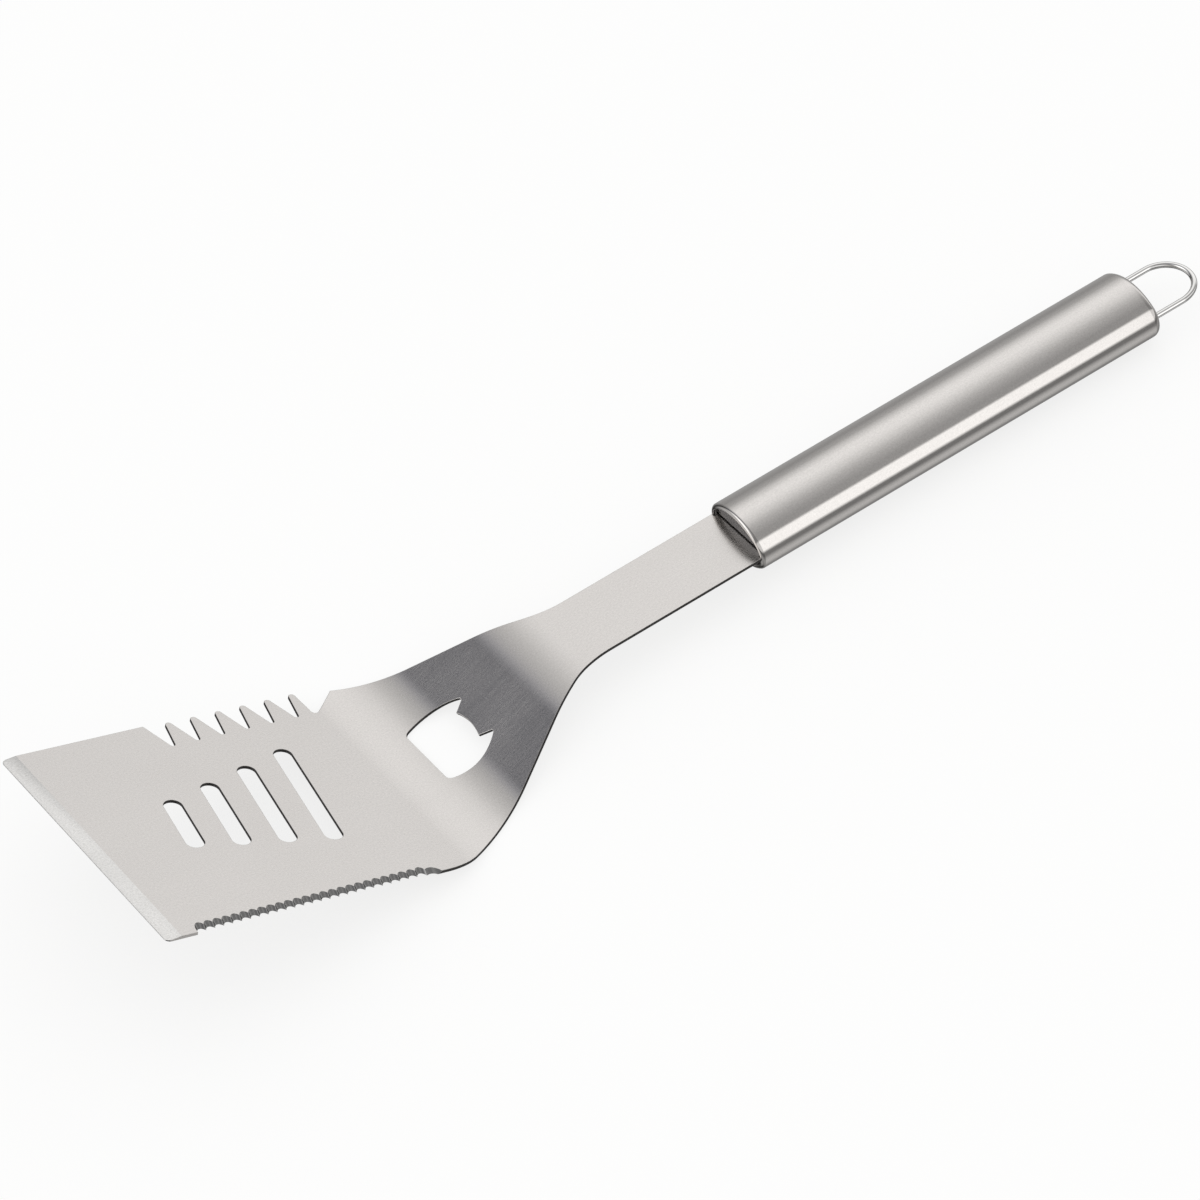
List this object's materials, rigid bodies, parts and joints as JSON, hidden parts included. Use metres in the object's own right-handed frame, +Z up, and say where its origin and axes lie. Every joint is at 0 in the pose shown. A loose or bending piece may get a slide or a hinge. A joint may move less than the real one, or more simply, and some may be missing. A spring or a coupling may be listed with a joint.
{
  "type": "grill spatula",
  "caption": "Steel grill turner with a slotted blade, saw-toothed and serrated sides, a bottle-opener cut-out in the neck, a hollow oval handle and a wire hanging loop.",
  "frame": {"origin": "middle of the bounding box in plan, on the table the tool rests on", "axes": "+X from the front edge of the blade to the hanging loop, +Y to the saw-toothed side, +Z up; at rest on a table on the heel of the blade and the rear of the handle, with the front edge in the air"},
  "size_m": [0.4438, 0.105, 0.0488],
  "materials": {
    "satin_steel": "satin, fine grain along the tool",
    "brushed_tube": "brushed along the handle",
    "polished_wire": "polished",
    "plain_steel": "unpolished, dull"
  },
  "bodies": {
    "root": {"blade": "satin_steel", "front_plate": "plain_steel", "front_welds": "plain_steel", "handle_tube": "brushed_tube", "end_cap": "brushed_tube", "hanging_loop": "polished_wire", "rear_welds": "plain_steel"}
  },
  "joints": []
}
